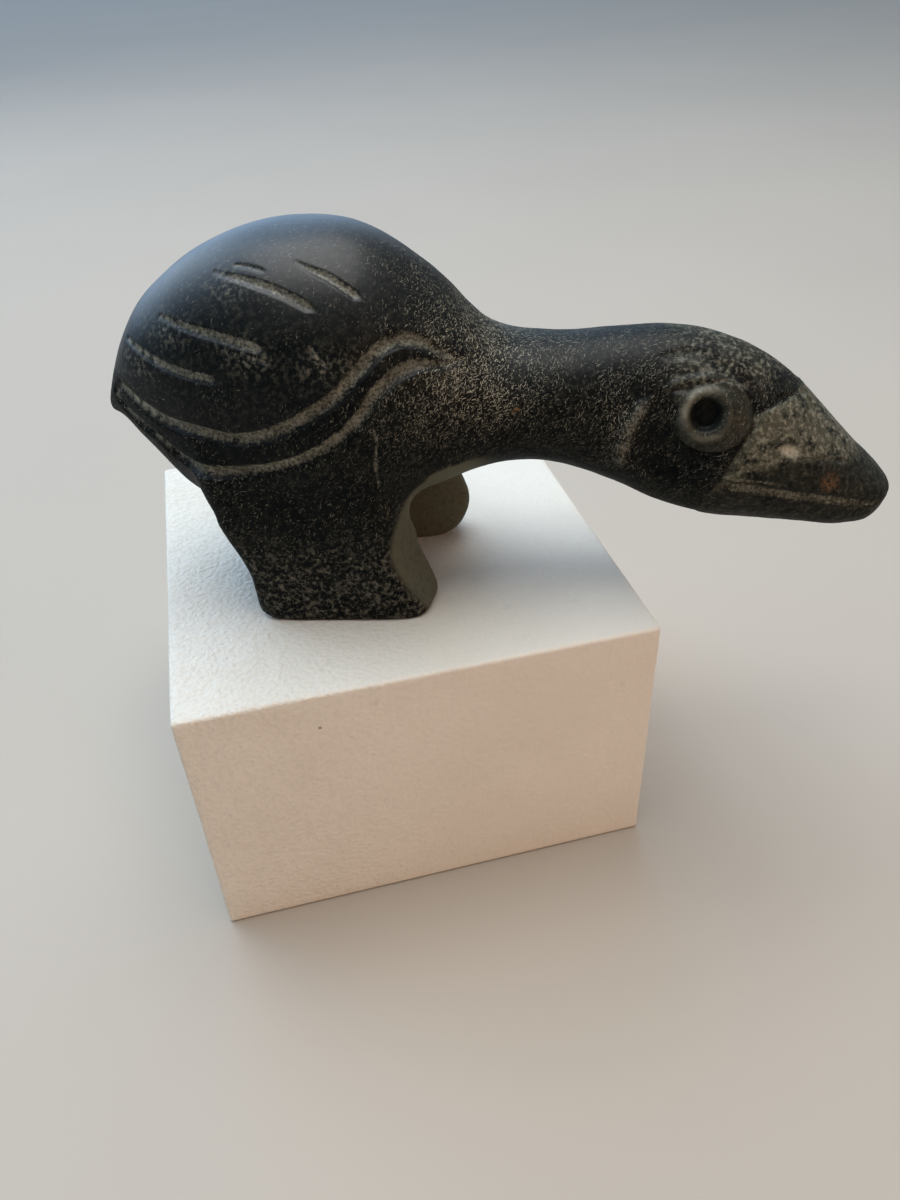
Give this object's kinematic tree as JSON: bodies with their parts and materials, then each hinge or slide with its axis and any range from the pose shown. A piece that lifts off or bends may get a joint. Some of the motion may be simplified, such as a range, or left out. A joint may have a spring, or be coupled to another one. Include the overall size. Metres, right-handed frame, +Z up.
{
  "type": "carved stone gosling on a plinth",
  "caption": "Greenstone carving of a gosling stretching its neck forward, with incised wing lines, standing on a white painted block plinth.",
  "frame": {"origin": "centre of the plinth's underside", "axes": "+X along the plinth towards the beak, +Y across the plinth to the carving's left side, +Z up"},
  "size_m": [0.22, 0.143, 0.1956],
  "materials": {
    "greenstone": "near-black green-grey stone, rubbed smooth on the back and finely tooled elsewhere, cut lines left pale",
    "painted_wood": "white emulsion paint rolled on a sawn block"
  },
  "bodies": {
    "root": {"gosling": "greenstone", "plinth": "painted_wood"}
  },
  "joints": []
}
